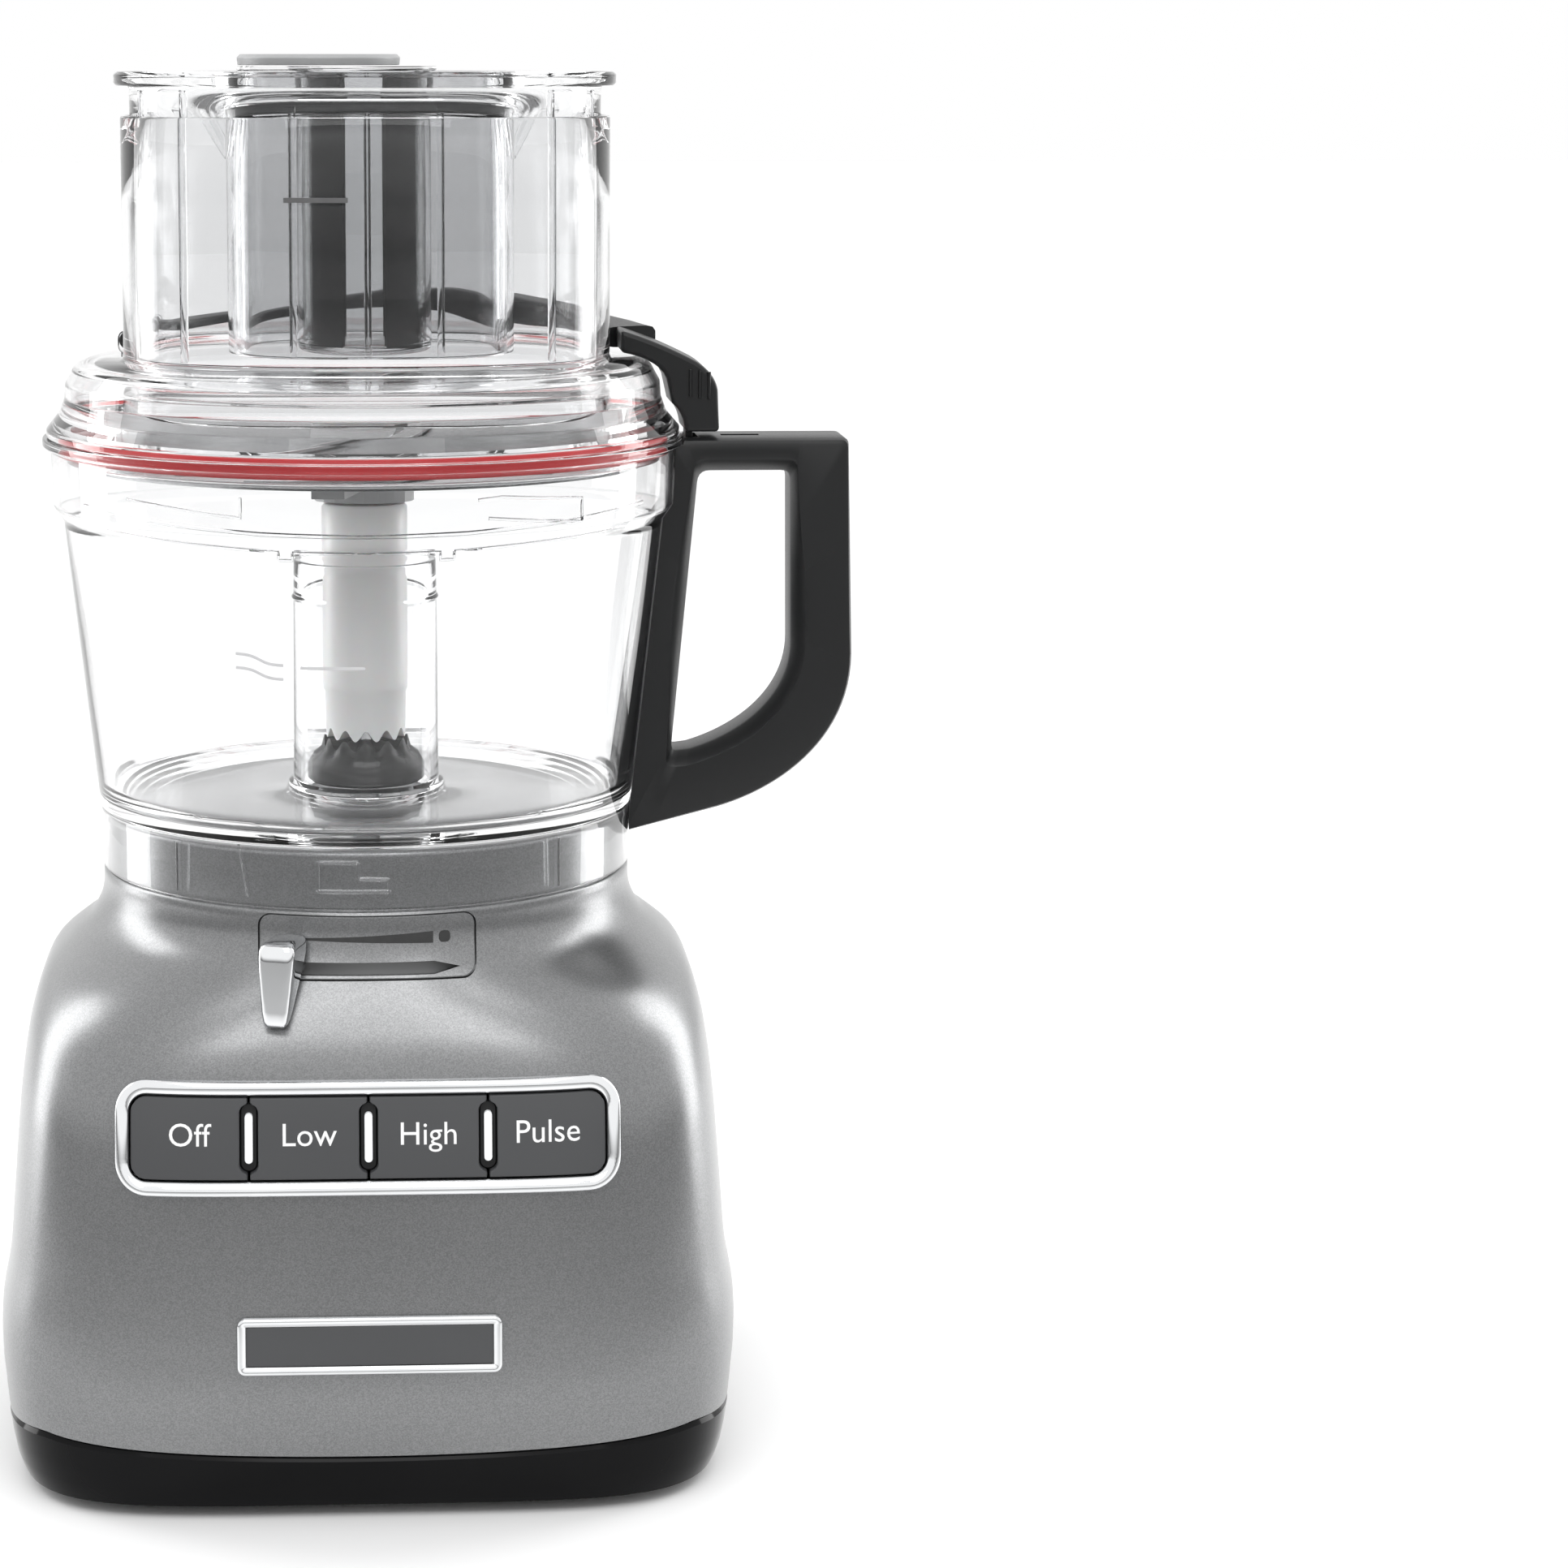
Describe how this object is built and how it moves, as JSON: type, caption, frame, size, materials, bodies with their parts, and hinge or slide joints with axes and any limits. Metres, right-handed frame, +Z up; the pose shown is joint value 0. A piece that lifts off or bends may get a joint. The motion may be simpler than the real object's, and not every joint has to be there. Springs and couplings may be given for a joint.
{
  "type": "food processor",
  "caption": "Food processor with a silver motor base, clear bowl with a dark handle, lid with a wide feed tube, nested pushers and a fitted slicing disc.",
  "frame": {"origin": "middle of the underside of the machine's bounding box, at table height", "axes": "+Z up; the front with the buttons faces -Y; the bowl's handle points to +X"},
  "size_m": [0.2652, 0.2264, 0.4301],
  "materials": {
    "silver_paint": "metallic silver-grey paint with a fine flake",
    "gloss_black": "gloss black",
    "dark_plastic": "satin dark grey, fine texture",
    "rubber": "matt black",
    "chrome": "polished",
    "button_grey": "satin dark grey",
    "light_white": "milky white",
    "circuit_board": "green solder mask",
    "copper_winding": "varnished copper and steel laminations",
    "steel": "fine brushed",
    "clear_plastic": "clear polished plastic",
    "smoked_plastic": "dark smoked clear plastic",
    "grey_plastic": "satin mid grey",
    "red_seal": "satin red",
    "white_plastic": "satin white"
  },
  "bodies": {
    "base": {"base_housing": "silver_paint", "base_deck": "silver_paint", "base_plinth": "gloss_black", "bottom_cover": "dark_plastic", "foot_front_left": "rubber", "foot_front_right": "rubber", "foot_rear_left": "rubber", "foot_rear_right": "rubber", "bottom_screw_front_left": "steel", "bottom_screw_front_right": "steel", "bottom_screw_rear_left": "steel", "bottom_screw_rear_right": "steel", "chassis_plate": "steel", "cord_gland": "rubber", "badge_frame": "chrome", "badge_plate": "button_grey", "thickness_dial": "silver_paint", "control_bezel": "chrome", "light_bar_1": "light_white", "light_bar_2": "light_white", "light_bar_3": "light_white", "control_board": "circuit_board", "motor_stator": "copper_winding", "power_board": "circuit_board", "lower_bearing": "steel", "upper_bearing": "steel", "adjuster_sleeve": "grey_plastic", "interlock_switch": "dark_plastic", "drive_belt": "rubber"},
    "motor_rotor": {"motor_armature": "steel", "motor_pulley": "steel"},
    "drive": {"drive_pulley": "steel", "drive_spindle": "steel", "drive_coupling": "gloss_black"},
    "adjuster": {"adjuster_ring": "grey_plastic", "slice_lever": "chrome"},
    "key_off": {"button_off": "button_grey"},
    "key_low": {"button_low": "button_grey"},
    "key_high": {"button_high": "button_grey"},
    "key_pulse": {"button_pulse": "button_grey"},
    "bowl_unit": {"bowl": "clear_plastic", "bowl_handle": "dark_plastic"},
    "lid_unit": {"lid": "clear_plastic", "feed_tube": "clear_plastic", "lid_seal": "red_seal", "latch_pin": "steel"},
    "latch": {"latch_arm": "dark_plastic"},
    "pusher_large_unit": {"pusher_large": "clear_plastic", "pusher_large_sleeve": "clear_plastic"},
    "pusher_medium_unit": {"pusher_medium": "clear_plastic", "pusher_medium_band": "dark_plastic"},
    "pusher_small_unit": {"pusher_small": "smoked_plastic", "pusher_small_cap": "grey_plastic"},
    "disc_unit": {"disc_stem": "white_plastic", "disc_plate": "steel", "disc_blade": "steel", "disc_hub": "white_plastic", "disc_carrier": "grey_plastic"}
  },
  "joints": [
    {"name": "bowl_lift", "type": "slide", "parent": "base", "child": "bowl_unit", "axis": [0, 0, 1], "range_m": [0, 0.09]},
    {"name": "lid_lift", "type": "slide", "parent": "bowl_unit", "child": "lid_unit", "axis": [0, 0, 1], "range_m": [0, 0.06]},
    {"name": "latch_hinge", "type": "hinge", "parent": "lid_unit", "child": "latch", "pos_m": [-0.0937, 0.02441, 0.3407], "axis": [0, -1, 0], "range_deg": [0, 8]},
    {"name": "pusher_large_lift", "type": "slide", "parent": "lid_unit", "child": "pusher_large_unit", "axis": [0, 0, 1], "range_m": [0, 0.085]},
    {"name": "pusher_medium_lift", "type": "slide", "parent": "pusher_large_unit", "child": "pusher_medium_unit", "axis": [0, 0, 1], "range_m": [0, 0.085]},
    {"name": "pusher_small_lift", "type": "slide", "parent": "pusher_medium_unit", "child": "pusher_small_unit", "axis": [0, 0, 1], "range_m": [0, 0.085]},
    {"name": "drive_spin", "type": "hinge", "parent": "base", "child": "drive", "pos_m": [-0.0197, -0.00059, 0.1], "axis": [0, 0, 1], "continuous": true},
    {"name": "motor_spin", "type": "hinge", "parent": "base", "child": "motor_rotor", "pos_m": [-0.0197, 0.06141, 0.1], "axis": [0, 0, 1], "continuous": true},
    {"name": "disc_spin", "type": "hinge", "parent": "bowl_unit", "child": "disc_unit", "pos_m": [-0.0197, -0.00059, 0.305], "axis": [0, 0, 1], "continuous": true},
    {"name": "slice_lever_turn", "type": "hinge", "parent": "base", "child": "adjuster", "pos_m": [-0.0197, -0.00059, 0.1618], "axis": [0, 0, 1], "range_deg": [0, 31]},
    {"name": "button_off_press", "type": "slide", "parent": "base", "child": "key_off", "axis": [0, 1, 0], "range_m": [0, 0.0015], "stiffness_N_per_m": 300, "springref_m": -0.001},
    {"name": "button_low_press", "type": "slide", "parent": "base", "child": "key_low", "axis": [0, 1, 0], "range_m": [0, 0.0015], "stiffness_N_per_m": 300, "springref_m": -0.001},
    {"name": "button_high_press", "type": "slide", "parent": "base", "child": "key_high", "axis": [0, 1, 0], "range_m": [0, 0.0015], "stiffness_N_per_m": 300, "springref_m": -0.001},
    {"name": "button_pulse_press", "type": "slide", "parent": "base", "child": "key_pulse", "axis": [0, 1, 0], "range_m": [0, 0.0015], "stiffness_N_per_m": 300, "springref_m": -0.001}
  ],
  "couplings": [
    {"joint": "disc_spin", "follows": "drive_spin", "ratio": 1},
    {"joint": "motor_spin", "follows": "drive_spin", "ratio": 5.11}
  ]
}
